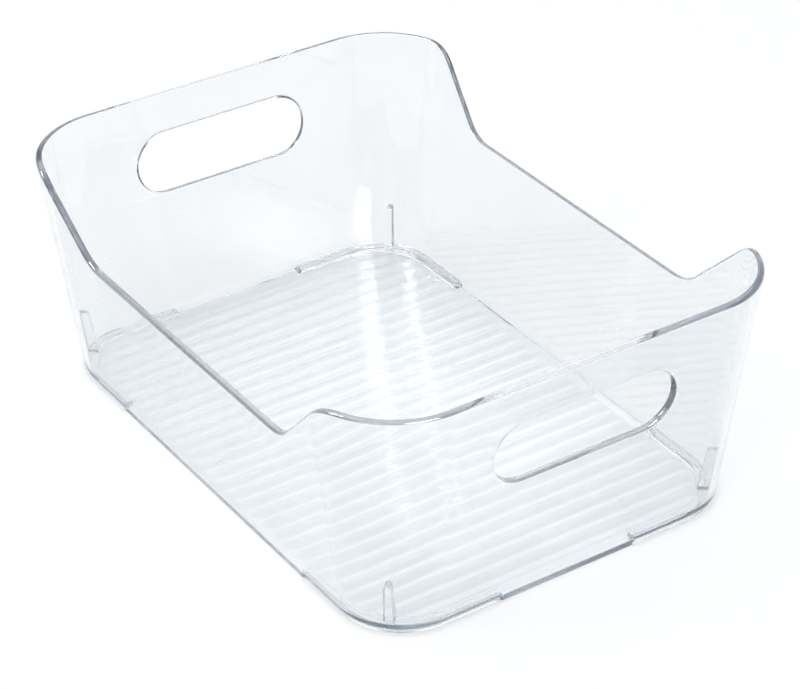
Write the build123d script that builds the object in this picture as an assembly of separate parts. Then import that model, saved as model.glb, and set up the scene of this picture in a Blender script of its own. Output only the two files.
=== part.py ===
from build123d import *
import os
from math import sqrt

# Fridge storage box: one clear tapered moulding with an open top, given as its moulded regions.
# Millimetres. X runs across the width, Y along the length, Z up from the surface it stands on.

# Tapered body
height = 105.8
rim_width = 204.4
rim_length = 275.2
rim_corner_radius = 39.0
base_width = 176.0
base_length = 253.0
base_corner_radius = 28.0
wall = 2.8
floor_thickness = 2.0

# Rim: the long sides drop below the two tall ends by an S-shaped sweep
side_drop = 32.4
sweep_setback = 31.1
sweep_run = 32.6
sweep_radius = 18.5

# Hand hole through each end wall
hole_width = 84.0
hole_height = 27.0
hole_below_rim = 18.5

# Stepped corners: a shallow rebate outside and a raised step inside, both L-shaped
step_leg = 56.0
ledge_height = 2.6
ledge_inset = 1.0
step_inset = 6.0
step_rise = 2.0
step_corner_radius = 28.0

# Stacking rib on each step
rib_width = 3.4
rib_height = 20.0
rib_foot_depth = 5.4
rib_top_depth = 4.2

# Ridged floor
ridge_pitch = 8.3
ridge_height = 0.4
ridge_margin = 1.0

# How far cutting shapes run past what they cut
overrun = 5.0

os.makedirs("parts", exist_ok=True)


def write(node, shape):
    export_step(shape, f"parts/{node}.step")
    print(node, round(shape.volume))


def section(level, inset):
    """The body's rounded outline at a level, drawn in by an inset."""
    rise_share = level / height
    width = base_width + (rim_width - base_width) * rise_share
    length = base_length + (rim_length - base_length) * rise_share
    radius = base_corner_radius + (rim_corner_radius - base_corner_radius) * rise_share
    outline = RectangleRounded(width - 2 * inset, length - 2 * inset, radius - inset)
    return Plane.XY.offset(level) * outline


def tapered(low, high, inset):
    return loft([section(low, inset), section(high, inset)], ruled=True)


def slab(low, high):
    """A level layer that is wider and longer than the body."""
    layer = Box(
        max(rim_width, base_width) + overrun,
        max(rim_length, base_length) + overrun,
        high - low,
        align=(Align.CENTER, Align.CENTER, Align.MIN),
    )
    return Pos(0, 0, low) * layer


def upright(width, length, radius, low, high):
    """An upright prism with a rounded outline."""
    outline = Plane.XY.offset(low) * RectangleRounded(width, length, radius)
    return extrude(outline, high - low)


def zone(x_low, x_high, y_low, y_high):
    """An upright block that picks out one region of the body."""
    block = Box(
        x_high - x_low,
        y_high - y_low,
        height + 2 * overrun,
        align=(Align.MIN, Align.MIN, Align.MIN),
    )
    return Pos(x_low, y_low, -overrun) * block


# Reach of the zones and the places where the straight walls give way to the corners
reach_x = max(rim_width, base_width) / 2 + overrun
reach_y = max(rim_length, base_length) / 2 + overrun
turn_x = base_width / 2 - base_corner_radius
turn_y = base_length / 2 - base_corner_radius
step_x = base_width / 2 - step_leg
step_y = base_length / 2 - step_leg
step_top = floor_thickness + step_rise
corners = {
    "front_left": (-1, -1),
    "front_right": (1, -1),
    "back_left": (-1, 1),
    "back_right": (1, 1),
}


def corner_zone(side_x, side_y, start_x, start_y):
    x_low, x_high = sorted((side_x * start_x, side_x * reach_x))
    y_low, y_high = sorted((side_y * start_y, side_y * reach_y))
    return zone(x_low, x_high, y_low, y_high)


# Hollow inside the walls, from below the floor to above the rim
hollow = tapered(-overrun, height + overrun, wall)


def rim_trim():
    """Everything above the rim line, seen from the side: tall ends, low middle, S-shaped sweeps."""
    low = height - side_drop
    sweep_top = rim_length / 2 - sweep_setback
    sweep_foot = sweep_top - sweep_run
    rim_line = FilletPolyline(
        (-reach_y, height),
        (-sweep_top, height),
        (-sweep_foot, low),
        (sweep_foot, low),
        (sweep_top, height),
        (reach_y, height),
        radius=sweep_radius,
    )
    above = Polyline(
        (reach_y, height),
        (reach_y, height + 2 * overrun),
        (-reach_y, height + 2 * overrun),
        (-reach_y, height),
    )
    profile = Plane.YZ * make_face([*rim_line.edges(), *above.edges()])
    return extrude(profile, reach_x, both=True)


def hand_holes():
    """One slot along Y, through both end walls."""
    centre = height - hole_below_rim - hole_height / 2
    slot = Plane.XZ * Pos(0, centre) * SlotOverall(hole_width, hole_height)
    return extrude(slot, reach_y, both=True)


def rebate(side_x, side_y):
    """The L-shaped cut under one outside corner, round the drawn-in foot."""
    block = corner_zone(side_x, side_y, step_x, step_y) & slab(-overrun, ledge_height)
    foot = upright(
        base_width - 2 * ledge_inset,
        base_length - 2 * ledge_inset,
        base_corner_radius - ledge_inset,
        -2 * overrun,
        ledge_height + overrun,
    )
    return block - foot


# Wall ring: the body less its hollow, trimmed at the rim, with hand holes and corner rebates
walls = tapered(0, height + overrun, 0) - hollow - rim_trim() - hand_holes()
for side_x, side_y in corners.values():
    walls = walls - rebate(side_x, side_y)

write("front_end_wall", walls & zone(-turn_x, turn_x, -reach_y, 0))
write("back_end_wall", walls & zone(-turn_x, turn_x, 0, reach_y))
write("left_side_wall", walls & zone(-reach_x, 0, -turn_y, turn_y))
write("right_side_wall", walls & zone(0, reach_x, -turn_y, turn_y))
for name, (side_x, side_y) in corners.items():
    write(f"{name}_corner_wall", walls & corner_zone(side_x, side_y, turn_x, turn_y))


def ridged_field():
    """Soft ridges side by side along the length, each an arch and a trough, within the steps."""
    inset = step_inset + ridge_margin
    field_width = base_width - 2 * inset
    field_length = base_length - 2 * inset
    count = int(field_length / ridge_pitch)
    start = -count * ridge_pitch / 2
    half_pitch = ridge_pitch / 2
    wave = []
    for half in range(2 * count):
        lift = ridge_height / 2 if half % 2 == 0 else -ridge_height / 2
        y = start + half * half_pitch
        wave.append(
            ThreePointArc(
                (y, floor_thickness),
                (y + half_pitch / 2, floor_thickness + lift),
                (y + half_pitch, floor_thickness),
            )
        )
    below = Polyline((-start, floor_thickness), (-start, 0), (start, 0), (start, floor_thickness))
    profile = Plane.YZ * make_face([*wave, *below.edges()])
    bars = extrude(profile, reach_x, both=True)
    field = upright(field_width, 2 * -start, step_corner_radius, 0, floor_thickness + ridge_height)
    return bars & field, field


# Floor panel: a plate between the walls, with the ridged field let into it
ridges, field = ridged_field()
floor_panel = (hollow & slab(0, floor_thickness)) - field + ridges
write("floor_panel", floor_panel)

# Corner steps: L-shaped, on the floor panel against the walls
step_ring = hollow & slab(floor_thickness, step_top)
step_ring = step_ring - upright(
    base_width - 2 * step_inset,
    base_length - 2 * step_inset,
    step_corner_radius,
    0,
    step_top + overrun,
)
for name, (side_x, side_y) in corners.items():
    write(f"{name}_step", step_ring & corner_zone(side_x, side_y, step_x, step_y))


def wall_reach(level):
    """How far the inside of the wall is from the base corner's centre, along the diagonal."""
    rise_share = level / height
    radius = base_corner_radius + (rim_corner_radius - base_corner_radius) * rise_share
    drift_x = (rim_width / 2 - rim_corner_radius - turn_x) * rise_share
    drift_y = (rim_length / 2 - rim_corner_radius - turn_y) * rise_share
    return radius - wall + (drift_x + drift_y) / sqrt(2)


def stacking_rib(side_x, side_y):
    """An upright rib on the corner's diagonal with a rounded top, against the inside of the wall."""
    rib_top = step_top + rib_height
    outward = Vector(side_x, side_y, 0)
    diagonal = Plane(
        origin=(side_x * turn_x, side_y * turn_y, 0),
        x_dir=outward,
        z_dir=outward.cross(Vector(0, 0, 1)),
    )
    side_view = Polygon(
        (wall_reach(step_top) - rib_foot_depth, step_top),
        (wall_reach(step_top) + rib_width, step_top),
        (wall_reach(rib_top) + rib_width, rib_top),
        (wall_reach(rib_top) - rib_top_depth, rib_top),
        align=None,
    )
    blade = extrude(diagonal * side_view, rib_width, both=True)
    across = Plane(origin=diagonal.origin, x_dir=Vector(0, 0, 1).cross(outward), z_dir=outward)
    arch = Pos(0, rib_top - rib_width / 2) * Circle(rib_width / 2)
    arch = arch + Pos(0, step_top) * Rectangle(
        rib_width, rib_height - rib_width / 2, align=(Align.CENTER, Align.MIN)
    )
    post = extrude(across * arch, wall_reach(rib_top) + rib_width)
    return blade & post & hollow


for name, (side_x, side_y) in corners.items():
    write(f"{name}_stacking_rib", stacking_rib(side_x, side_y))
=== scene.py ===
# %% [markdown]
# # A clear storage box for the fridge
# The box is a single moulding of clear plastic: a tapered tray with two tall ends, two low sides, a hand
# hole in each end, a ridged floor, a stepped foot in each corner and a stacking rib on each step.
# The CAD model gives it as seventeen regions that meet face to face. Clear plastic shows every inner
# face as a line, so here the box is made again as one closed skin and stands for all seventeen.

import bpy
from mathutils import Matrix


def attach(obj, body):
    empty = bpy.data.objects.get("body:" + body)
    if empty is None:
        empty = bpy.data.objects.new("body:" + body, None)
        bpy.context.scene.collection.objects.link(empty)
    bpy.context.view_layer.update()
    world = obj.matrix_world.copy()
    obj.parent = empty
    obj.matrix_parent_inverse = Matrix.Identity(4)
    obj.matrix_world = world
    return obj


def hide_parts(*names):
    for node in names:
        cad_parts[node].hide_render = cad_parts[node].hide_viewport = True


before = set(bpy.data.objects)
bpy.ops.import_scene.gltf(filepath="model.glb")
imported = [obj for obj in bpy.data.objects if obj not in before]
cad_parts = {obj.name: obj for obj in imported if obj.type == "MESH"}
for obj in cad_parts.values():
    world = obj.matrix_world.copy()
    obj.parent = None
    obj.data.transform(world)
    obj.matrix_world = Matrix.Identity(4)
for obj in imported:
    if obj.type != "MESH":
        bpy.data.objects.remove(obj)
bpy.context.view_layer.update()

# %% [markdown]
# ## Sizes
# The named sizes repeat those of the CAD source, in metres. Two things that the CAD model leaves out are
# added here: the small roundings that a mould leaves on every edge, because an edge of clear plastic is
# seen by the light that its rounding bends, and a narrow hollow under each corner step.

# %% Sizes of the moulding
import math

import bmesh
import bpy
from mathutils import Matrix, Vector

MM = 0.001
HEIGHT = 105.8 * MM
RIM_HALF_WIDTH, RIM_HALF_LENGTH, RIM_CORNER = 102.2 * MM, 137.6 * MM, 39 * MM
BASE_HALF_WIDTH, BASE_HALF_LENGTH, BASE_CORNER = 88 * MM, 126.5 * MM, 28 * MM
WALL = 2.8 * MM
FLOOR_TOP = 2.0 * MM
SIDE_DROP = 32.4 * MM
SWEEP_FOOT, SWEEP_RUN, SWEEP_RADIUS = 73.9 * MM, 32.6 * MM, 18.5 * MM

HOLE_HALF_WIDTH, HOLE_HALF_HEIGHT, HOLE_CENTRE = 42 * MM, 13.5 * MM, 73.8 * MM

STEP_HALF_WIDTH, STEP_HALF_LENGTH, STEP_CORNER = 82 * MM, 120.5 * MM, 28 * MM
STEP_TOP = 4.0 * MM
LEG_END_X, LEG_END_Y = 32 * MM, 70.5 * MM
LEDGE_HEIGHT, LEDGE_INSET = 2.6 * MM, 1.0 * MM

RIM_OUTER_ROUND, RIM_INNER_ROUND = 1.7 * MM, 0.4 * MM
HOLE_OUTER_ROUND, HOLE_INNER_ROUND = 1.6 * MM, 0.4 * MM
FOOT_ROUND, LEDGE_ROUND, TREAD_ROUND = 0.9 * MM, 0.6 * MM, 0.4 * MM
STEP_ROUND = 0.5 * MM
FLOOR_FILLET = 0.8 * MM
POCKET_TOP, POCKET_OUTER, POCKET_INNER, POCKET_DRAFT = 1.6 * MM, 2.8 * MM, 4.4 * MM, 0.2 * MM

scene = bpy.context.scene
print("box", RIM_HALF_WIDTH * 2, "x", RIM_HALF_LENGTH * 2, "x", HEIGHT, "m, wall", WALL)

# %% [markdown]
# ## Stops round the outline
# The walls could be lofted between two outlines, but then nothing ties a point of the foot to the point
# of the rim above it. Instead, stops are set round the outline, and the same stops are found on the
# base, on the rim and on the inside step. Stops lie close together in the corners and where the rim
# sweeps up, and a close pair marks each end of an L-shaped corner step.

# %% Stops along the straight walls and round the corners
LEG_GAP = 0.2 * MM
PATCH_HALF_WIDTH = 48 * MM
STOP_PITCH = 8 * MM
END_STOPS, SIDE_STOPS = 4, 8
SWEEP_STOPS = range(63, 98)
# The rim still sweeps up in the first degrees of a corner, so the stops there are closer
SWEEP_TURN, SWEEP_TURN_STEPS, LEVEL_TURN_STEPS = 27, 12, 18
level_turn = 90 - SWEEP_TURN
CORNER_ANGLES = [SWEEP_TURN * step / SWEEP_TURN_STEPS for step in range(SWEEP_TURN_STEPS)]
CORNER_ANGLES += [SWEEP_TURN + level_turn * step / LEVEL_TURN_STEPS for step in range(LEVEL_TURN_STEPS + 1)]


def both_ways(stops):
    """Stops from the middle of a wall outwards, mirrored to its other half."""
    return [-stop for stop in reversed(stops) if stop > 0] + stops


end_stops = [STOP_PITCH * step for step in range(END_STOPS)]
end_stops += [LEG_END_X - LEG_GAP, LEG_END_X + LEG_GAP, PATCH_HALF_WIDTH]
side_stops = [STOP_PITCH * step for step in range(SIDE_STOPS)] + [MM * step for step in SWEEP_STOPS]
side_stops = sorted(side_stops + [LEG_END_Y - LEG_GAP, LEG_END_Y + LEG_GAP])

# Once round the box: the front end and the right side, then the back end and the left side
columns = []
for side in (-1, 1):
    columns += [("end", side, -side * stop) for stop in both_ways(end_stops)]
    columns += [("corner", (-side, side), angle) for angle in reversed(CORNER_ANGLES)]
    columns += [("side", -side, -side * stop) for stop in both_ways(side_stops)]
    columns += [("corner", (-side, -side), angle) for angle in CORNER_ANGLES]
print("stops round the outline:", len(columns))


# %% Where a stop falls on an outline
def section(level, inset):
    """Half width, half length and corner radius of the tapered body at a level, drawn in by an inset."""
    share = level / HEIGHT
    half_width = BASE_HALF_WIDTH + (RIM_HALF_WIDTH - BASE_HALF_WIDTH) * share
    half_length = BASE_HALF_LENGTH + (RIM_HALF_LENGTH - BASE_HALF_LENGTH) * share
    radius = BASE_CORNER + (RIM_CORNER - BASE_CORNER) * share
    return half_width - inset, half_length - inset, radius - inset


def spread(stop, leg_end, base_straight, straight):
    """A stop keeps its place up to the end of the corner step, and is then spread to the corner."""
    leg = leg_end + LEG_GAP
    if abs(stop) <= leg:
        return stop
    return math.copysign(leg + (abs(stop) - leg) * (straight - leg) / (base_straight - leg), stop)


def place(column, outline):
    """The point of an outline at a stop."""
    kind, side, stop = column
    half_width, half_length, radius = outline
    if kind == "end":
        base_straight = BASE_HALF_WIDTH - BASE_CORNER
        x = spread(stop, LEG_END_X, base_straight, half_width - radius)
        return Vector((x, side * half_length, 0.0))
    if kind == "side":
        base_straight = BASE_HALF_LENGTH - BASE_CORNER
        y = spread(stop, LEG_END_Y, base_straight, half_length - radius)
        return Vector((side * half_width, y, 0.0))
    angle = math.radians(stop)
    x = side[0] * (half_width - radius + radius * math.cos(angle))
    y = side[1] * (half_length - radius + radius * math.sin(angle))
    return Vector((x, y, 0.0))


def has_step(column):
    """True in the L-shaped corner steps, false between them."""
    kind, side, stop = column
    if kind == "corner":
        return True
    return abs(stop) > (LEG_END_X if kind == "end" else LEG_END_Y)


print("stops on the corner steps:", sum(has_step(column) for column in columns))

# %% [markdown]
# ## The profile of the wall
# At each stop the same row of points runs from the floor up the inside, over the rim, down the outside
# and under the foot. A row keeps four facts: its place on the base, its place on the rim, how far its
# height follows the rim, and a plain lift. In a corner the inner points climb over the step and the
# outer ones go in under the ledge and up into the hollow below the step. Between the corners the same
# points lie along the plain wall.

# %% Rows of the profile
PATCH_LOW, PATCH_HIGH, PATCH_ROWS = 56 * MM, 92 * MM, 2
ROUND_STEPS, RIM_INNER_STEPS, RIM_OUTER_STEPS = 4, 4, 6
# Between the corners: how close the spare inner points lie on the floor, and the spare outer ones on the
# wall, as shares of the ledge's height
SPARE_PITCH = 0.3 * MM
SPARE_START, SPARE_SHARE = 1.2, 0.14
POCKET_MARGIN = 1 * MM


def step_point(grow, level):
    outline = (STEP_HALF_WIDTH + grow, STEP_HALF_LENGTH + grow, STEP_CORNER + grow)
    return outline, outline, 0.0, level


def wall_point(inset, level):
    return section(0, inset), section(HEIGHT, inset), 0.0, level


def foot_point(inset, level):
    outline = section(0, inset)
    return outline, outline, 0.0, level


def rim_point(inset, rise, drop):
    return section(0, inset), section(HEIGHT, inset), rise, -drop


def quarter(size, steps=ROUND_STEPS):
    """How far a rounded edge has gone in and has still to drop, in even turns from upright to level."""
    turns = [math.radians(90 * step / steps) for step in range(steps + 1)]
    return [(size * (1 - math.cos(turn)), size * (1 - math.sin(turn))) for turn in turns]


def inside_foot(level, stepped):
    if stepped:
        start = [step_point(0, FLOOR_TOP)]
        start += [step_point(go_in, level - drop) for go_in, drop in quarter(STEP_ROUND)]
    else:
        start = [step_point(SPARE_PITCH * count, FLOOR_TOP) for count in range(ROUND_STEPS + 2)]
    fillet = [wall_point(WALL + drop, level + go_in) for go_in, drop in quarter(FLOOR_FILLET)]
    return start + fillet


def outside_foot(stepped):
    if stepped:
        start = [wall_point(go_in, LEDGE_HEIGHT + drop) for go_in, drop in quarter(LEDGE_ROUND)]
        start.append(foot_point(LEDGE_INSET, LEDGE_HEIGHT))
        foot = [foot_point(LEDGE_INSET + go_in, drop) for go_in, drop in quarter(TREAD_ROUND)]
    else:
        shares = [SPARE_START - SPARE_SHARE * count for count in range(ROUND_STEPS + 2)]
        start = [wall_point(0, LEDGE_HEIGHT * share) for share in shares]
        foot = [foot_point(go_in, drop) for go_in, drop in quarter(FOOT_ROUND)]
    roof = POCKET_TOP if stepped else 0.0
    foot += [foot_point(POCKET_OUTER, 0.0), foot_point(POCKET_OUTER + POCKET_DRAFT, roof)]
    foot += [foot_point(POCKET_INNER - POCKET_DRAFT, roof), foot_point(POCKET_INNER, 0.0)]
    return start + foot + [foot_point(POCKET_INNER + POCKET_MARGIN, 0.0)]


def rim_round():
    """From the inside of the wall over the rim to its outside, with a small and a larger rounding."""
    inner = quarter(RIM_INNER_ROUND, RIM_INNER_STEPS)
    outer = quarter(RIM_OUTER_ROUND, RIM_OUTER_STEPS)[::-1]
    rows = [rim_point(WALL - go_in, 1.0, drop) for go_in, drop in inner]
    return rows + [rim_point(go_in, 1.0, drop) for go_in, drop in outer]


def profile(stepped):
    rows = inside_foot(STEP_TOP if stepped else FLOOR_TOP, stepped)
    rows += [rim_point(WALL, PATCH_LOW / HEIGHT, 0), rim_point(WALL, PATCH_HIGH / HEIGHT, 0)]
    rows += rim_round()
    rows += [rim_point(0, PATCH_HIGH / HEIGHT, 0), rim_point(0, PATCH_LOW / HEIGHT, 0)]
    return rows + outside_foot(stepped)


profiles = {stepped: profile(stepped) for stepped in (True, False)}
row_count = len(profiles[True])
INSIDE_LOW = len(inside_foot(FLOOR_TOP, False))
OUTSIDE_HIGH = INSIDE_LOW + PATCH_ROWS + len(rim_round())
print("rows of the profile:", row_count)

# %% Lay the profile out as a strip of faces
base_places, rim_places, rises, lifts = [], [], [], []
for row in range(row_count):
    for column in columns:
        base_outline, rim_outline, rise, lift = profiles[has_step(column)][row]
        base_places.append(place(column, base_outline))
        rim_places.append(place(column, rim_outline))
        rises.append(rise)
        lifts.append(lift)


def put_in_scene(name, data):
    thing = bpy.data.objects.new(name, data)
    scene.collection.objects.link(thing)
    return thing


def in_patch(row, first, second):
    """True for the cells of an end wall that are left open for a hand hole."""
    if row not in (INSIDE_LOW, OUTSIDE_HIGH):
        return False
    return first[0] == "end" and second[0] == "end"


strip_faces = []
for row in range(row_count - 1):
    for number, column in enumerate(columns):
        beside = (number + 1) % len(columns)
        if in_patch(row, column, columns[beside]):
            continue
        low, high = row * len(columns), (row + 1) * len(columns)
        strip_faces.append((low + number, low + beside, high + beside, high + number))

strip_mesh = bpy.data.meshes.new("wall_strip")
strip_mesh.from_pydata(base_places, [], strip_faces)
for name, kind, values in (
    ("base_place", "FLOAT_VECTOR", [v for point in base_places for v in point]),
    ("rim_place", "FLOAT_VECTOR", [v for point in rim_places for v in point]),
    ("rise", "FLOAT", rises),
    ("lift", "FLOAT", lifts),
):
    attribute = strip_mesh.attributes.new(name, kind, "POINT")
    attribute.data.foreach_set("vector" if kind == "FLOAT_VECTOR" else "value", values)
wall_strip = put_in_scene("wall_strip", strip_mesh)
print("wall strip:", len(strip_mesh.vertices), "points,", len(strip_mesh.polygons), "faces")

# %% [markdown]
# ## The rule of the rim
# From the side the rim is one line: low along the middle, then an arc, a straight slope, a second arc,
# and level over the tall ends. Geometry Nodes are good at a rule like this: one group works out the
# rim's height from a distance along the box, and a tree uses it to lift every row. The taper moves a
# point as it rises, and its height depends on where it is, so the tree goes round a few times.


# %% Small helpers for node trees
def add_node(tree, kind, **settings):
    node = tree.nodes.new(kind)
    for name, value in settings.items():
        setattr(node, name, value)
    return node


def feed(tree, node, *values):
    """Sets or links the node's inputs in order. None leaves a socket alone."""
    for socket, value in zip(node.inputs, values):
        if value is None:
            continue
        if isinstance(value, bpy.types.NodeSocket):
            tree.links.new(value, socket)
        else:
            socket.default_value = value
    return node.outputs[0]


def do_math(tree, operation, *values):
    return feed(tree, add_node(tree, "ShaderNodeMath", operation=operation), *values)


def do_vector(tree, operation, *values):
    return feed(tree, add_node(tree, "ShaderNodeVectorMath", operation=operation), *values)


def scaled(tree, vector, scale):
    node = add_node(tree, "ShaderNodeVectorMath", operation="SCALE")
    tree.links.new(vector, node.inputs["Vector"])
    tree.links.new(scale, node.inputs["Scale"])
    return node.outputs[0]


def new_tree(name, inputs, outputs, kind="GeometryNodeTree"):
    """A node tree with named inputs, given as (name, socket type, start value), and outputs."""
    tree = bpy.data.node_groups.new(name, kind)
    for label, socket_type, start in inputs:
        socket = tree.interface.new_socket(label, in_out="INPUT", socket_type=socket_type)
        if start is not None:
            socket.default_value = start
    for label, socket_type in outputs:
        tree.interface.new_socket(label, in_out="OUTPUT", socket_type=socket_type)
    return tree, add_node(tree, "NodeGroupInput"), add_node(tree, "NodeGroupOutput")


def evaluated_mesh(thing, tree, values):
    """Runs a tree on an object with its named inputs set, and returns the result as a plain mesh."""
    modifier = thing.modifiers.new(tree.name, "NODES")
    modifier.node_group = tree
    for item in tree.interface.items_tree:
        if item.item_type == "SOCKET" and item.in_out == "INPUT" and item.name in values:
            modifier[item.identifier] = values[item.name]
    view = bpy.context.evaluated_depsgraph_get()
    mesh = bpy.data.meshes.new_from_object(thing.evaluated_get(view))
    thing.modifiers.remove(modifier)
    return mesh


# %% Group: the height of the rim at a distance along the box
RULE_INPUTS = [
    ("Height", "NodeSocketFloat", HEIGHT),
    ("Side Drop", "NodeSocketFloat", SIDE_DROP),
    ("Sweep Foot", "NodeSocketFloat", SWEEP_FOOT),
    ("Sweep Run", "NodeSocketFloat", SWEEP_RUN),
    ("Sweep Radius", "NodeSocketFloat", SWEEP_RADIUS),
]
rim_rule, given, result = new_tree(
    "rim_height_rule", [("Along", "NodeSocketFloat", 0.0), *RULE_INPUTS], [("Level", "NodeSocketFloat")]
)
height, drop = given.outputs["Height"], given.outputs["Side Drop"]
foot, run, radius = (given.outputs[name] for name in ("Sweep Foot", "Sweep Run", "Sweep Radius"))
along = do_math(rim_rule, "ABSOLUTE", given.outputs["Along"])
slope_angle = do_math(rim_rule, "ARCTAN2", drop, run)
half_tangent = do_math(rim_rule, "TANGENT", do_math(rim_rule, "MULTIPLY", slope_angle, 0.5))
tangent = do_math(rim_rule, "MULTIPLY", radius, half_tangent)
span = do_math(rim_rule, "MULTIPLY", radius, do_math(rim_rule, "SINE", slope_angle))
sweep_start = do_math(rim_rule, "SUBTRACT", foot, tangent)
sweep_end = do_math(rim_rule, "ADD", do_math(rim_rule, "ADD", foot, run), tangent)


def arc_rise(distance):
    """How far an arc has risen at a distance from its level end."""
    inside = do_math(rim_rule, "MINIMUM", do_math(rim_rule, "MAXIMUM", distance, 0.0), span)
    squares = do_math(rim_rule, "MULTIPLY", radius, radius)
    squares = do_math(rim_rule, "SUBTRACT", squares, do_math(rim_rule, "MULTIPLY", inside, inside))
    return do_math(rim_rule, "SUBTRACT", radius, do_math(rim_rule, "SQRT", squares))


low_arc = arc_rise(do_math(rim_rule, "SUBTRACT", along, sweep_start))
high_arc = arc_rise(do_math(rim_rule, "SUBTRACT", sweep_end, along))
slope_start = do_math(rim_rule, "ADD", sweep_start, span)
slope_stop = do_math(rim_rule, "SUBTRACT", sweep_end, span)
on_slope = do_math(rim_rule, "MINIMUM", do_math(rim_rule, "MAXIMUM", along, slope_start), slope_stop)
on_slope = do_math(rim_rule, "SUBTRACT", on_slope, slope_start)
slope_rise = do_math(rim_rule, "MULTIPLY", on_slope, do_math(rim_rule, "TANGENT", slope_angle))
level = do_math(rim_rule, "SUBTRACT", height, drop)
level = do_math(rim_rule, "ADD", level, do_math(rim_rule, "ADD", low_arc, slope_rise))
level = do_math(rim_rule, "ADD", level, do_math(rim_rule, "SUBTRACT", arc_rise(span), high_arc))
rim_rule.links.new(level, result.inputs["Level"])
print("rim rule:", len(rim_rule.nodes), "nodes")

# %% Tree: lift the strip into tapered walls
LIFT_ROUNDS = 5
wall_tree, given, result = new_tree(
    "tapered_wall",
    [("Strip", "NodeSocketGeometry", None), *RULE_INPUTS],
    [("Walls", "NodeSocketGeometry")],
)


def named(tree, name, data_type):
    node = add_node(tree, "GeometryNodeInputNamedAttribute", data_type=data_type)
    node.inputs["Name"].default_value = name
    return node.outputs["Attribute"]


base_place = named(wall_tree, "base_place", "FLOAT_VECTOR")
rim_place = named(wall_tree, "rim_place", "FLOAT_VECTOR")
rise, lift = named(wall_tree, "rise", "FLOAT"), named(wall_tree, "lift", "FLOAT")
lean = do_vector(wall_tree, "SUBTRACT", rim_place, base_place)


def leaned(at_level):
    share = do_math(wall_tree, "DIVIDE", at_level, given.outputs["Height"])
    return do_vector(wall_tree, "ADD", base_place, scaled(wall_tree, lean, share))


at_level = do_math(wall_tree, "MULTIPLY_ADD", rise, given.outputs["Height"], lift)
for _ in range(LIFT_ROUNDS):
    parts = add_node(wall_tree, "ShaderNodeSeparateXYZ")
    wall_tree.links.new(leaned(at_level), parts.inputs[0])
    rule = add_node(wall_tree, "GeometryNodeGroup", node_tree=rim_rule)
    feed(wall_tree, rule, parts.outputs["Y"], *[given.outputs[name] for name, *_ in RULE_INPUTS])
    at_level = do_math(wall_tree, "MULTIPLY_ADD", rise, rule.outputs["Level"], lift)
parts = add_node(wall_tree, "ShaderNodeSeparateXYZ")
wall_tree.links.new(leaned(at_level), parts.inputs[0])
lifted = feed(
    wall_tree, add_node(wall_tree, "ShaderNodeCombineXYZ"), parts.outputs["X"], parts.outputs["Y"], at_level
)
move = add_node(wall_tree, "GeometryNodeSetPosition")
wall_tree.links.new(given.outputs["Strip"], move.inputs["Geometry"])
wall_tree.links.new(lifted, move.inputs["Position"])
wall_tree.links.new(move.outputs[0], result.inputs["Walls"])

wall_mesh = evaluated_mesh(wall_strip, wall_tree, {name: start for name, _, start in RULE_INPUTS})
bpy.data.objects.remove(wall_strip)
print("walls:", len(wall_mesh.vertices), "points, top", round(max(v.co.z for v in wall_mesh.vertices), 4))

# %% [markdown]
# ## The ridged floor
# The floor carries soft ridges across its width, so that food does not stick to it and drips can run
# off. A ridge is a wave along the length: each point of a flat sheet is lifted by a sine of its place.
# The sheet follows the rounded field inside the steps, and the wave fades out at its edge, as the
# cutter that made the mould ran out there.

# %% A flat sheet for the ridged field
FIELD_HALF_WIDTH, FIELD_HALF_LENGTH, FIELD_CORNER = 81 * MM, 119.5 * MM, 27 * MM
RIDGE_PITCH, RIDGE_HEIGHT, RIDGE_REACH = 8.3 * MM, 0.4 * MM, 116.2 * MM
RIDGE_FADE = 1.6 * MM
SHEET_ROWS, SHEET_COLUMNS = 480, 28


def field_half_width(y):
    past = max(0.0, abs(y) - (FIELD_HALF_LENGTH - FIELD_CORNER))
    return FIELD_HALF_WIDTH - FIELD_CORNER + math.sqrt(max(0.0, FIELD_CORNER**2 - past**2))


def eased(value):
    value = min(1.0, max(0.0, value))
    return value * value * (3 - 2 * value)


def edge_distance(x, y):
    """How far a point of the field is from the field's rounded edge."""
    inner_x = abs(x) - (FIELD_HALF_WIDTH - FIELD_CORNER)
    inner_y = abs(y) - (FIELD_HALF_LENGTH - FIELD_CORNER)
    outside = math.hypot(max(inner_x, 0.0), max(inner_y, 0.0))
    return FIELD_CORNER - outside - min(0.0, max(inner_x, inner_y))


sheet_points, fades = [], []
for row in range(SHEET_ROWS + 1):
    y = FIELD_HALF_LENGTH * (2 * row / SHEET_ROWS - 1)
    for number in range(SHEET_COLUMNS + 1):
        across = math.sin(math.pi / 2 * (2 * number / SHEET_COLUMNS - 1))
        x = field_half_width(y) * across
        run_out = eased((RIDGE_REACH - abs(y)) / RIDGE_FADE)
        sheet_points.append(Vector((x, y, FLOOR_TOP)))
        fades.append(eased(edge_distance(x, y) / RIDGE_FADE) * run_out)

sheet_width = SHEET_COLUMNS + 1
sheet_faces = [
    (corner, corner + 1, corner + sheet_width + 1, corner + sheet_width)
    for row in range(SHEET_ROWS)
    for corner in range(row * sheet_width, row * sheet_width + SHEET_COLUMNS)
]
sheet_mesh = bpy.data.meshes.new("floor_sheet")
sheet_mesh.from_pydata(sheet_points, [], sheet_faces)
sheet_mesh.attributes.new("fade", "FLOAT", "POINT").data.foreach_set("value", fades)
floor_sheet = put_in_scene("floor_sheet", sheet_mesh)
print("floor sheet:", len(sheet_points), "points")

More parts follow.
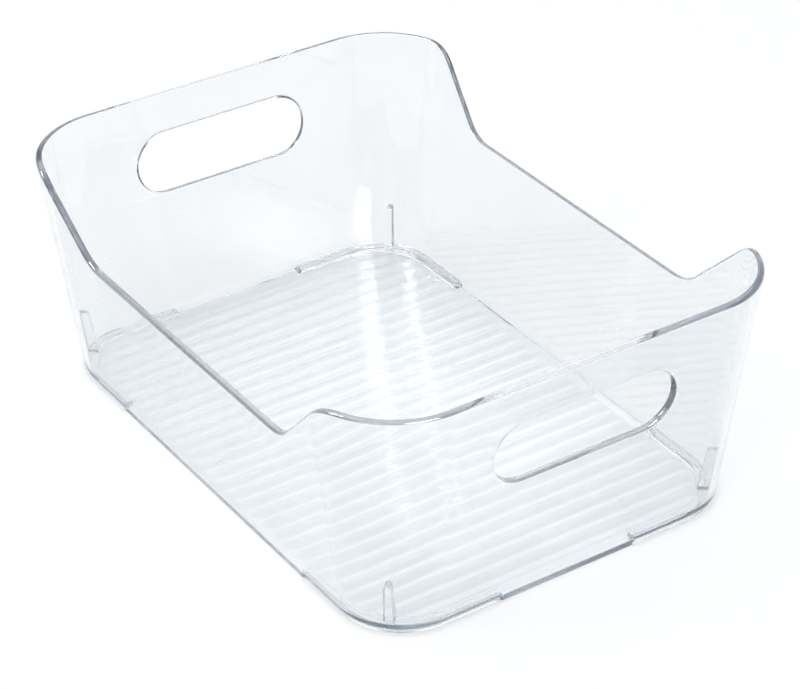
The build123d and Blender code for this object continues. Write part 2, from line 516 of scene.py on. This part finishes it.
# %% Tree: raise the ridges
ridge_tree, given, result = new_tree(
    "floor_ridges",
    [
        ("Sheet", "NodeSocketGeometry", None),
        ("Pitch", "NodeSocketFloat", RIDGE_PITCH),
        ("Ridge Height", "NodeSocketFloat", RIDGE_HEIGHT),
        ("Start", "NodeSocketFloat", -RIDGE_REACH),
    ],
    [("Ridged", "NodeSocketGeometry")],
)
where = add_node(ridge_tree, "GeometryNodeInputPosition")
parts = add_node(ridge_tree, "ShaderNodeSeparateXYZ")
ridge_tree.links.new(where.outputs[0], parts.inputs[0])
turns = do_math(ridge_tree, "SUBTRACT", parts.outputs["Y"], given.outputs["Start"])
turns = do_math(ridge_tree, "DIVIDE", turns, given.outputs["Pitch"])
wave = do_math(ridge_tree, "SINE", do_math(ridge_tree, "MULTIPLY", turns, 2 * math.pi))
swing = do_math(ridge_tree, "MULTIPLY", given.outputs["Ridge Height"], 0.5)
swing = do_math(ridge_tree, "MULTIPLY", swing, named(ridge_tree, "fade", "FLOAT"))
raised = feed(
    ridge_tree,
    add_node(ridge_tree, "ShaderNodeCombineXYZ"),
    None,
    None,
    do_math(ridge_tree, "MULTIPLY", wave, swing),
)
move = add_node(ridge_tree, "GeometryNodeSetPosition")
ridge_tree.links.new(given.outputs["Sheet"], move.inputs["Geometry"])
ridge_tree.links.new(raised, move.inputs["Offset"])
ridge_tree.links.new(move.outputs[0], result.inputs["Ridged"])

floor_mesh = evaluated_mesh(
    floor_sheet,
    ridge_tree,
    {"Pitch": RIDGE_PITCH, "Ridge Height": RIDGE_HEIGHT, "Start": -RIDGE_REACH},
)
bpy.data.objects.remove(floor_sheet)
print("ridged floor: from", round(min(v.co.z for v in floor_mesh.vertices), 5), "m")

# %% [markdown]
# ## One closed skin
# Walls and floor are brought together in one mesh. A flat ring joins the floor to the foot of the walls,
# a flat sheet closes the underside, and each hand hole gets its two rounded lips and the short tunnel
# between them. Every edge then has two faces, which is what clear plastic needs to bend light rightly.

# %% Join walls and floor, and close the underside
shell = bmesh.new()
shell.from_mesh(wall_mesh)
shell.from_mesh(floor_mesh)
shell.verts.ensure_lookup_table()
floor_start = len(wall_mesh.vertices)


def close_between(*loops):
    """Fills the flat area between closed loops of points."""
    edges = []
    for loop in loops:
        for first, second in zip(loop, loop[1:] + loop[:1]):
            edges.append(shell.edges.get((first, second)) or shell.edges.new((first, second)))
    bmesh.ops.triangle_fill(shell, use_beauty=True, use_dissolve=False, edges=edges)


def wall_row(row, numbers):
    return [shell.verts[row * len(columns) + number] for number in numbers]


def sheet_point(row, number):
    return shell.verts[floor_start + row * sheet_width + number]


every = range(len(columns))
sheet_edge = [sheet_point(0, number) for number in range(SHEET_COLUMNS)]
sheet_edge += [sheet_point(row, SHEET_COLUMNS) for row in range(SHEET_ROWS)]
sheet_edge += [sheet_point(SHEET_ROWS, number) for number in range(SHEET_COLUMNS, 0, -1)]
sheet_edge += [sheet_point(row, 0) for row in range(SHEET_ROWS, 0, -1)]
close_between(wall_row(0, every), sheet_edge)
close_between(wall_row(row_count - 1, every))
print("skin before the hand holes:", len(shell.faces), "faces")

# %% Hand holes with rounded lips
LIP_STEPS, HOLE_ARC_STEPS = 6, 22


def hole_loop(side, grow, depth):
    """Points round a hand hole, grown from its size, at a depth below the outside of the end wall."""
    straight = HOLE_HALF_WIDTH - HOLE_HALF_HEIGHT
    loop = []
    for end in (1, -1):
        for step in range(HOLE_ARC_STEPS + 1):
            angle = math.radians(-90 + 180 * step / HOLE_ARC_STEPS)
            x = end * (straight + (HOLE_HALF_HEIGHT + grow) * math.cos(angle))
            z = HOLE_CENTRE + end * (HOLE_HALF_HEIGHT + grow) * math.sin(angle)
            y = side * section(z, depth)[1]
            loop.append(shell.verts.new((x, y, z)))
    return loop


def lip(round_size, wall_side):
    """Growth and depth of the loops round one lip, from the wall's face into the tunnel."""
    turns = quarter(round_size, LIP_STEPS)
    return [(drop, go_in if wall_side == "outside" else WALL - go_in) for go_in, drop in turns]


def join_loops(mesh, loops):
    """Faces between each closed loop of points and the next."""
    for first, second in zip(loops, loops[1:]):
        for number in range(len(first)):
            beside = (number + 1) % len(first)
            mesh.faces.new((first[number], first[beside], second[beside], second[number]))


for side in (-1, 1):
    shell.verts.ensure_lookup_table()
    across = [number for number in every if columns[number][:2] == ("end", side)]
    borders = [wall_row(row, across) + wall_row(row + 1, across)[::-1] for row in (OUTSIDE_HIGH, INSIDE_LOW)]
    rows = lip(HOLE_OUTER_ROUND, "outside") + lip(HOLE_INNER_ROUND, "inside")[::-1]
    loops = [hole_loop(side, grow, depth) for grow, depth in rows]
    join_loops(shell, loops)
    close_between(borders[0], loops[0])
    close_between(borders[1], loops[-1])

bmesh.ops.recalc_face_normals(shell, faces=shell.faces)
MILLILITRES = 1e6  # in a cubic metre


def measured(mesh):
    """How many edges of a mesh are open, and its volume in millilitres."""
    open_edges = sum(len(edge.link_faces) != 2 for edge in mesh.edges)
    return f"{open_edges} open edges, {mesh.calc_volume() * MILLILITRES:.1f} ml"


print("skin:", len(shell.faces), "faces,", measured(shell))

# %% [markdown]
# ## Stacking ribs
# A narrow upright rib with a rounded head stands on each corner step against the wall, and holds a box
# stacked inside this one off its floor. The rib is made once. A tree sets it on four seats, one to a
# corner, and fuses the four with the skin, so that no face is left inside the plastic.

# %% One rib, pointing outwards along X from the corner's centre
RIB_HALF_WIDTH, RIB_DRAFT, RIB_TOP = 1.7 * MM, 0.3 * MM, 24 * MM
RIB_FOOT_DEPTH, RIB_TOP_DEPTH = 5.4 * MM, 4.2 * MM
RIB_ROUND, RIB_SINK = 0.5 * MM, 1.0 * MM
RIB_ARC_STEPS, RIB_ROUND_STEPS = 16, 4


def wall_reach(level):
    """How far the inside of the wall is from the base corner's centre, along the diagonal."""
    share = level / HEIGHT
    drift_x = (RIM_HALF_WIDTH - RIM_CORNER) - (BASE_HALF_WIDTH - BASE_CORNER)
    drift_y = (RIM_HALF_LENGTH - RIM_CORNER) - (BASE_HALF_LENGTH - BASE_CORNER)
    corner = BASE_CORNER + (RIM_CORNER - BASE_CORNER) * share
    return corner - WALL + (drift_x + drift_y) * share * math.sqrt(0.5)


def rib_face(level):
    """Where the rib's inner face is at a level."""
    share = (level - STEP_TOP) / (RIB_TOP - STEP_TOP)
    foot = wall_reach(STEP_TOP) - RIB_FOOT_DEPTH
    head = wall_reach(RIB_TOP) - RIB_TOP_DEPTH
    return foot + (head - foot) * share


def rib_loop(mesh, shrink, depth):
    """The arch of the rib at a depth behind its inner face, or inside the wall when depth is None."""
    half_width = RIB_HALF_WIDTH - RIB_DRAFT - shrink
    foot = STEP_TOP - RIB_SINK
    outline = [(half_width + 2 * RIB_DRAFT, foot)]
    for step in range(RIB_ARC_STEPS + 1):
        angle = math.pi * step / RIB_ARC_STEPS
        head = RIB_TOP - RIB_HALF_WIDTH + RIB_DRAFT
        outline.append((half_width * math.cos(angle), head + half_width * math.sin(angle)))
    outline.append((-half_width - 2 * RIB_DRAFT, foot))
    loop = []
    for across, level in outline:
        along = wall_reach(level) + RIB_SINK if depth is None else rib_face(level) + depth
        loop.append(mesh.verts.new((along, across, level)))
    return loop


rib = bmesh.new()
rib_loops = [rib_loop(rib, drop, go_in) for go_in, drop in quarter(RIB_ROUND, RIB_ROUND_STEPS)]
rib_loops.append(rib_loop(rib, 0.0, None))
join_loops(rib, rib_loops)
rib.faces.new(rib_loops[0])
rib.faces.new(rib_loops[-1])
bmesh.ops.recalc_face_normals(rib, faces=rib.faces)
rib_mesh = bpy.data.meshes.new("stacking_rib")
rib.to_mesh(rib_mesh)
rib_measures = measured(rib)
rib.free()
rib_form = put_in_scene("stacking_rib", rib_mesh)
print("rib:", len(rib_mesh.polygons), "faces,", rib_measures)

# %% Four seats, and the skin as an object
seat_x, seat_y = BASE_HALF_WIDTH - BASE_CORNER, BASE_HALF_LENGTH - BASE_CORNER
seats = [(1, 1), (-1, 1), (-1, -1), (1, -1)]
seat_mesh = bpy.data.meshes.new("rib_seats")
seat_mesh.from_pydata([(sx * seat_x, sy * seat_y, 0.0) for sx, sy in seats], [], [])
turns = [math.atan2(sy, sx) for sx, sy in seats]
seat_mesh.attributes.new("turn", "FLOAT", "POINT").data.foreach_set("value", turns)
rib_seats = put_in_scene("rib_seats", seat_mesh)

shell_mesh = bpy.data.meshes.new("skin")
shell.to_mesh(shell_mesh)
shell.free()
skin = put_in_scene("skin", shell_mesh)
print("seats:", len(seats))

# %% [markdown]
# ## Clear plastic
# Clear plastic is not quite clean and not quite flat. Where it flowed into the mould it left a slow
# waviness, the mould's polish left a fine haze, and a few specks of dust were moulded in. Two groups
# give those marks as masks, and the floor of the studio uses them too, with other values.
# The plastic itself is a glass shader with the bend of styrene, and a faint absorption: a wall is almost
# colourless across its thickness, but light that runs along inside it comes out at an edge grey-blue.

# %% Group: slow clouds
CLOUD_LOW, CLOUD_HIGH = 0.3, 0.7
clouds, given, result = new_tree(
    "slow_clouds",
    [
        ("Place", "NodeSocketVector", None),
        ("Scale", "NodeSocketFloat", 30.0),
        ("Detail", "NodeSocketFloat", 3.0),
    ],
    [("Cloud", "NodeSocketFloat")],
    kind="ShaderNodeTree",
)
noise = add_node(clouds, "ShaderNodeTexNoise")
clouds.links.new(given.outputs["Place"], noise.inputs["Vector"])
clouds.links.new(given.outputs["Scale"], noise.inputs["Scale"])
clouds.links.new(given.outputs["Detail"], noise.inputs["Detail"])
ramp = add_node(clouds, "ShaderNodeMapRange", interpolation_type="SMOOTHSTEP")
feed(clouds, ramp, noise.outputs[0], CLOUD_LOW, CLOUD_HIGH, 0.0, 1.0)
clouds.links.new(ramp.outputs[0], result.inputs["Cloud"])
print("group:", clouds.name, len(clouds.nodes), "nodes")

# %% Group: a few specks
specks, given, result = new_tree(
    "few_specks",
    [
        ("Place", "NodeSocketVector", None),
        ("Scale", "NodeSocketFloat", 60.0),
        ("Size", "NodeSocketFloat", 0.03),
        ("Share", "NodeSocketFloat", 0.05),
    ],
    [("Speck", "NodeSocketFloat")],
    kind="ShaderNodeTree",
)
cells = add_node(specks, "ShaderNodeTexVoronoi", feature="F1")
specks.links.new(given.outputs["Place"], cells.inputs["Vector"])
specks.links.new(given.outputs["Scale"], cells.inputs["Scale"])
near = do_math(specks, "LESS_THAN", cells.outputs["Distance"], given.outputs["Size"])
draw = add_node(specks, "ShaderNodeSeparateColor")
specks.links.new(cells.outputs["Color"], draw.inputs[0])
chosen = do_math(specks, "LESS_THAN", draw.outputs[0], given.outputs["Share"])
specks.links.new(do_math(specks, "MULTIPLY", near, chosen), result.inputs["Speck"])
print("group:", specks.name, len(specks.nodes), "nodes")


# %% Helpers for materials
def new_material(name):
    material = bpy.data.materials.new(name)
    material.use_nodes = True
    tree = material.node_tree
    shader = tree.nodes["Principled BSDF"]
    place_node = add_node(tree, "ShaderNodeTexCoord")
    return material, tree, shader, place_node.outputs["Object"]


def use_group(tree, group, **values):
    node = add_node(tree, "ShaderNodeGroup", node_tree=group)
    for name, value in values.items():
        if isinstance(value, bpy.types.NodeSocket):
            tree.links.new(value, node.inputs[name])
        else:
            node.inputs[name].default_value = value
    return node.outputs[0]


def map_range(tree, value, low, high):
    node = add_node(tree, "ShaderNodeMapRange")
    return feed(tree, node, value, 0.0, 1.0, low, high)


def blend_colours(tree, mask, first, second):
    node = add_node(tree, "ShaderNodeMix", data_type="RGBA")
    tree.links.new(mask, node.inputs["Factor"])
    for name, colour in (("A", first), ("B", second)):
        socket = next(s for s in node.inputs if s.name == name and s.type == "RGBA")
        if isinstance(colour, bpy.types.NodeSocket):
            tree.links.new(colour, socket)
        else:
            socket.default_value = (*colour, 1.0)
    return next(s for s in node.outputs if s.type == "RGBA")


def add_bump(tree, shader, height, strength, depth):
    bump = add_node(tree, "ShaderNodeBump")
    bump.inputs["Strength"].default_value = strength
    bump.inputs["Distance"].default_value = depth
    tree.links.new(height, bump.inputs["Height"])
    tree.links.new(bump.outputs[0], shader.inputs["Normal"])


def by_ray(tree, ray_kind, usual, other):
    """The usual shader, with the other one in its place for one kind of ray."""
    ray = add_node(tree, "ShaderNodeLightPath")
    either = add_node(tree, "ShaderNodeMixShader")
    tree.links.new(ray.outputs[ray_kind], either.inputs[0])
    tree.links.new(usual.outputs[0], either.inputs[1])
    tree.links.new(other.outputs[0], either.inputs[2])
    return either.outputs[0]


# %% Material: the plastic's surface
CLEAR_TINT, HAZY_TINT, DUST_TINT = (0.91, 0.93, 0.94), (0.93, 0.945, 0.955), (0.45, 0.48, 0.52)
POLISHED, HAZED = 0.012, 0.03
STYRENE_BEND = 1.58
WAVE_STRETCH, WAVE_STRENGTH, WAVE_DEPTH = (1.0, 1.0, 0.35), 0.25, 0.06 * MM

plastic, tree, shader, spot = new_material("clear_styrene")
haze = use_group(tree, clouds, Place=spot, Scale=38.0, Detail=2.0)
dust = use_group(tree, specks, Place=spot, Scale=42.0, Size=0.022, Share=0.05)
tint = blend_colours(tree, haze, CLEAR_TINT, HAZY_TINT)
tint = blend_colours(tree, dust, tint, DUST_TINT)
tree.links.new(tint, shader.inputs["Base Color"])
tree.links.new(map_range(tree, haze, POLISHED, HAZED), shader.inputs["Roughness"])
shader.inputs["IOR"].default_value = STYRENE_BEND
shader.inputs["Transmission Weight"].default_value = 1.0
flow = add_node(tree, "ShaderNodeMapping")
flow.inputs["Scale"].default_value = WAVE_STRETCH
tree.links.new(spot, flow.inputs["Vector"])
waves = use_group(tree, clouds, Place=flow.outputs[0], Scale=55.0, Detail=1.0)
add_bump(tree, shader, waves, WAVE_STRENGTH, WAVE_DEPTH)
print("plastic bends light by", STYRENE_BEND)

# %% Material: the plastic's depth, and the light it lets through to the paper
EDGE_GREY, EDGE_DENSITY = (0.42, 0.46, 0.54, 1.0), 4.8
SHADOW_TINT = (0.69, 0.70, 0.71, 1.0)

absorb = add_node(tree, "ShaderNodeVolumeAbsorption")
absorb.inputs["Color"].default_value = EDGE_GREY
absorb.inputs["Density"].default_value = EDGE_DENSITY
through = add_node(tree, "ShaderNodeBsdfTransparent")
through.inputs["Color"].default_value = SHADOW_TINT
final = tree.nodes["Material Output"]
tree.links.new(absorb.outputs[0], final.inputs["Volume"])
tree.links.new(by_ray(tree, "Is Shadow Ray", shader, through), final.inputs["Surface"])
print("material:", plastic.name, len(tree.nodes), "nodes")

# %% Tree: set the ribs on their seats and fuse them with the skin
fuse_tree, given, result = new_tree(
    "fuse_ribs",
    [
        ("Seats", "NodeSocketGeometry", None),
        ("Rib", "NodeSocketObject", None),
        ("Skin", "NodeSocketObject", None),
        ("Plastic", "NodeSocketMaterial", None),
    ],
    [("Moulding", "NodeSocketGeometry")],
)
rib_info = add_node(fuse_tree, "GeometryNodeObjectInfo")
fuse_tree.links.new(given.outputs["Rib"], rib_info.inputs["Object"])
skin_info = add_node(fuse_tree, "GeometryNodeObjectInfo")
fuse_tree.links.new(given.outputs["Skin"], skin_info.inputs["Object"])
turn = feed(
    fuse_tree, add_node(fuse_tree, "ShaderNodeCombineXYZ"), 0.0, 0.0, named(fuse_tree, "turn", "FLOAT")
)
stand = add_node(fuse_tree, "GeometryNodeInstanceOnPoints")
fuse_tree.links.new(given.outputs["Seats"], stand.inputs["Points"])
fuse_tree.links.new(rib_info.outputs["Geometry"], stand.inputs["Instance"])
fuse_tree.links.new(turn, stand.inputs["Rotation"])
realize = add_node(fuse_tree, "GeometryNodeRealizeInstances")
fuse_tree.links.new(stand.outputs[0], realize.inputs[0])
fuse = add_node(fuse_tree, "GeometryNodeMeshBoolean", operation="UNION", solver="MANIFOLD")
fuse_tree.links.new(skin_info.outputs["Geometry"], fuse.inputs["Mesh 2"])
fuse_tree.links.new(realize.outputs[0], fuse.inputs["Mesh 2"])
whole = add_node(fuse_tree, "GeometryNodeRealizeInstances")
fuse_tree.links.new(fuse.outputs[0], whole.inputs[0])
coat = add_node(fuse_tree, "GeometryNodeSetMaterial")
fuse_tree.links.new(whole.outputs[0], coat.inputs["Geometry"])
fuse_tree.links.new(given.outputs["Plastic"], coat.inputs["Material"])
fuse_tree.links.new(coat.outputs[0], result.inputs["Moulding"])

box_mesh = evaluated_mesh(rib_seats, fuse_tree, {"Rib": rib_form, "Skin": skin, "Plastic": plastic})
for helper in (rib_form, skin, rib_seats):
    bpy.data.objects.remove(helper)
print("moulding:", len(box_mesh.vertices), "points,", len(box_mesh.polygons), "faces")

# %% Shade it: flat walls stay flat, roundings stay smooth
SHARP_ANGLE = math.radians(35)
FLAT_FACE_WEIGHT = 80
box_mesh.name = "box_moulding"
box_mesh.shade_smooth()
box_mesh.set_sharp_from_angle(angle=SHARP_ANGLE)
box = put_in_scene("box_moulding", box_mesh)
weigh = box.modifiers.new("weigh_normals", "WEIGHTED_NORMAL")
weigh.keep_sharp = True
weigh.weight = FLAT_FACE_WEIGHT
finished = bpy.data.meshes.new_from_object(box.evaluated_get(bpy.context.evaluated_depsgraph_get()))
box.modifiers.remove(weigh)
box.data = finished
finished.name = "box_moulding"

check = bmesh.new()
check.from_mesh(finished)
triangles = sum(len(face.verts) - 2 for face in check.faces)
print("box:", triangles, "triangles,", measured(check))
print("materials:", [material.name for material in finished.materials])
check.free()

# %% The box stands for every CAD region
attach(box, "root")
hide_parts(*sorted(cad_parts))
print("replaces", len(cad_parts), "CAD nodes")

# %% [markdown]
# ## Floor, light and camera
# The box stands on a white sweep of paper that fills the picture. Soft light comes from a large panel
# overhead and two weak ones on the left, and the room beyond is a little darker, which gives the clear
# edges something to show against. The camera's place was fitted to the edges of the box in the photograph.

# %% Paper sweep
FLOOR_DROP = 0.15 * MM
FLOOR_HALF, FLOOR_CELLS = 4.0, 8
PAPER_LOW, PAPER_HIGH, FLECK_TINT = (0.90, 0.905, 0.91), (0.92, 0.925, 0.93), (0.80, 0.80, 0.80)
PAPER_SMOOTH, PAPER_ROUGH, PAPER_SHEEN = 0.75, 0.85, 0.1
GRAIN_STRENGTH, GRAIN_DEPTH = 0.1, 0.05 * MM

floor_plane = bmesh.new()
bmesh.ops.create_grid(floor_plane, x_segments=FLOOR_CELLS, y_segments=FLOOR_CELLS, size=FLOOR_HALF)
studio_mesh = bpy.data.meshes.new("studio_floor")
floor_plane.to_mesh(studio_mesh)
floor_plane.free()
studio_mesh.transform(Matrix.Translation((0.0, 0.0, -FLOOR_DROP)))
studio_floor = put_in_scene("studio_floor", studio_mesh)

paper, tree, shader, spot = new_material("white_paper")
cloud = use_group(tree, clouds, Place=spot, Scale=4.0, Detail=4.0)
grain = use_group(tree, clouds, Place=spot, Scale=900.0, Detail=2.0)
fleck = use_group(tree, specks, Place=spot, Scale=30.0, Size=0.01, Share=0.02)
shade = blend_colours(tree, cloud, PAPER_LOW, PAPER_HIGH)
shade = blend_colours(tree, fleck, shade, FLECK_TINT)
tree.links.new(shade, shader.inputs["Base Color"])
tree.links.new(map_range(tree, cloud, PAPER_SMOOTH, PAPER_ROUGH), shader.inputs["Roughness"])
shader.inputs["Specular IOR Level"].default_value = PAPER_SHEEN
add_bump(tree, shader, grain, GRAIN_STRENGTH, GRAIN_DEPTH)
studio_mesh.materials.append(paper)
print("floor:", FLOOR_HALF * 2, "m wide")


# %% Light panels
def facing(centre, target):
    return (Vector(target) - Vector(centre)).to_track_quat("-Z", "Y")


def light_panel(name, centre, target, size, power):
    lamp = bpy.data.lights.new(name, "AREA")
    lamp.shape = "RECTANGLE"
    lamp.size, lamp.size_y = size
    lamp.energy = power
    panel = put_in_scene(name, lamp)
    panel.location = centre
    panel.rotation_mode = "QUATERNION"
    panel.rotation_quaternion = facing(centre, target)
    print("light panel:", name, size, "m,", power, "W")


BOX_MIDDLE = (0.0, 0.0, 0.05)
light_panel("overhead_panel", (0.15, 0.3, 1.7), (0.15, 0.3, 0.0), (3.4, 3.4), 39.0)
light_panel("left_panel", (-1.1, -0.75, 0.95), BOX_MIDDLE, (0.5, 0.9), 2.2)
light_panel("far_left_panel", (-1.2, 0.4, 0.9), BOX_MIDDLE, (0.4, 0.9), 1.6)

# %% [markdown]
# ## Reflector cards
# Clear plastic is seen by what it mirrors, so a photographer stands bright cards around it. Seen first in
# the ridged floor and then in the round far corner, two cards draw two upright streaks of light. Lamps
# as bright as that would flood the white paper, so the cards light nothing themselves: they only show as
# mirror images, and no longer once the light has met a matte surface.

# %% Cards in front and on the left
CARD_CORNERS = [(-0.5, 0.5), (0.5, 0.5), (0.5, -0.5), (-0.5, -0.5)]
FAR_CORNER = (0.08, 0.11, 0.03)


def card_material(name, glow):
    material = bpy.data.materials.new(name)
    material.use_nodes = True
    material.cycles.emission_sampling = "NONE"
    tree = material.node_tree
    tree.nodes.clear()
    shine = add_node(tree, "ShaderNodeEmission")
    shine.inputs["Strength"].default_value = glow
    nothing = add_node(tree, "ShaderNodeBsdfTransparent")
    final = add_node(tree, "ShaderNodeOutputMaterial")
    tree.links.new(by_ray(tree, "Diffuse Depth", shine, nothing), final.inputs["Surface"])
    return material


def reflector_card(name, centre, target, size, glow):
    turn = facing(centre, target)
    corners = [Vector((size[0] * x, size[1] * y, 0.0)) for x, y in CARD_CORNERS]
    mesh = bpy.data.meshes.new(name)
    mesh.from_pydata([Vector(centre) + turn @ corner for corner in corners], [], [(0, 1, 2, 3)])
    mesh.materials.append(card_material(name, glow))
    card = put_in_scene(name, mesh)
    card.visible_camera = False
    card.visible_diffuse = False
    card.visible_transmission = False
    card.visible_shadow = False
    print("card:", name, size, "m")


reflector_card("front_card", (-0.05, -1.14, 1.0), FAR_CORNER, (0.75, 0.53), 33.0)
reflector_card("left_card", (-1.02, 0.43, 1.14), FAR_CORNER, (0.5, 0.8), 29.0)

# %% The room beyond
ROOM_LOW, ROOM_HIGH, ROOM_STRENGTH = (0.50, 0.53, 0.57), (1.0, 1.0, 1.0), 0.51
RAMP_LOW, RAMP_HIGH = -0.1, 0.9

world = bpy.data.worlds.new("studio_room")
world.use_nodes = True
tree = world.node_tree
sky = tree.nodes["Background"]
spot = add_node(tree, "ShaderNodeTexCoord")
parts = add_node(tree, "ShaderNodeSeparateXYZ")
tree.links.new(spot.outputs["Generated"], parts.inputs[0])
ramp = add_node(tree, "ShaderNodeMapRange", interpolation_type="SMOOTHSTEP")
feed(tree, ramp, parts.outputs["Z"], RAMP_LOW, RAMP_HIGH, 0.0, 1.0)
tree.links.new(blend_colours(tree, ramp.outputs[0], ROOM_LOW, ROOM_HIGH), sky.inputs["Color"])
sky.inputs["Strength"].default_value = ROOM_STRENGTH
scene.world = world
print("room:", world.name)

# %% Camera at the photograph's angle
AZIMUTH, ELEVATION, ROLL = math.radians(-33.69), math.radians(32.75), math.radians(-0.44)
AIM_LEVEL = 52.825 * MM
AIM_SHIFT_X, AIM_SHIFT_Y, DISTANCE = -4.79 * MM, -11.70 * MM, 1157.29 * MM
SENSOR, PICTURE_WIDTH, FOCAL_PIXELS = 36.0, 800, 2810.49

back = Vector(
    (
        math.sin(AZIMUTH) * math.cos(ELEVATION),
        -math.cos(AZIMUTH) * math.cos(ELEVATION),
        math.sin(ELEVATION),
    )
)
level_right = (-back).cross(Vector((0.0, 0.0, 1.0))).normalized()
level_down = (-back).cross(level_right)
right = level_right * math.cos(ROLL) - level_down * math.sin(ROLL)
down = level_right * math.sin(ROLL) + level_down * math.cos(ROLL)
eye = Vector((0.0, 0.0, AIM_LEVEL)) - right * AIM_SHIFT_X - down * AIM_SHIFT_Y + back * DISTANCE

lens = bpy.data.cameras.new("photo_camera")
lens.sensor_fit = "HORIZONTAL"
lens.sensor_width = SENSOR
lens.lens = FOCAL_PIXELS / PICTURE_WIDTH * SENSOR
camera = put_in_scene("photo_camera", lens)
frame_axes = Matrix((right, -down, back)).transposed()
camera.matrix_world = Matrix.Translation(eye) @ frame_axes.to_4x4()
scene.camera = camera
print("camera at", tuple(round(v, 3) for v in eye), "lens", round(lens.lens, 1), "mm")

# %% [markdown]
# ## Following the light
# Light that enters an edge of clear plastic is mirrored to and fro inside it many times. A path that is
# cut short goes black, so the paths are let run long, and the absorption alone decides how grey an edge
# is. Bright paths aren't clamped either, because that would take away the streaks of the two cards.

# %% How the picture is worked out
LONG_PATH = 200
scene.view_settings.view_transform = "Standard"
scene.view_settings.look = "None"
scene.cycles.max_bounces = LONG_PATH
scene.cycles.transmission_bounces = LONG_PATH
scene.cycles.glossy_bounces = LONG_PATH
scene.cycles.diffuse_bounces = 4
scene.cycles.transparent_max_bounces = 16
scene.cycles.blur_glossy = 0.3
scene.cycles.sample_clamp_indirect = 0.0
scene.cycles.caustics_refractive = True
scene.cycles.caustics_reflective = True
scene.cycles.use_denoising = True
print("paths run for up to", scene.cycles.max_bounces, "bounces")

bpy.context.view_layer.update()
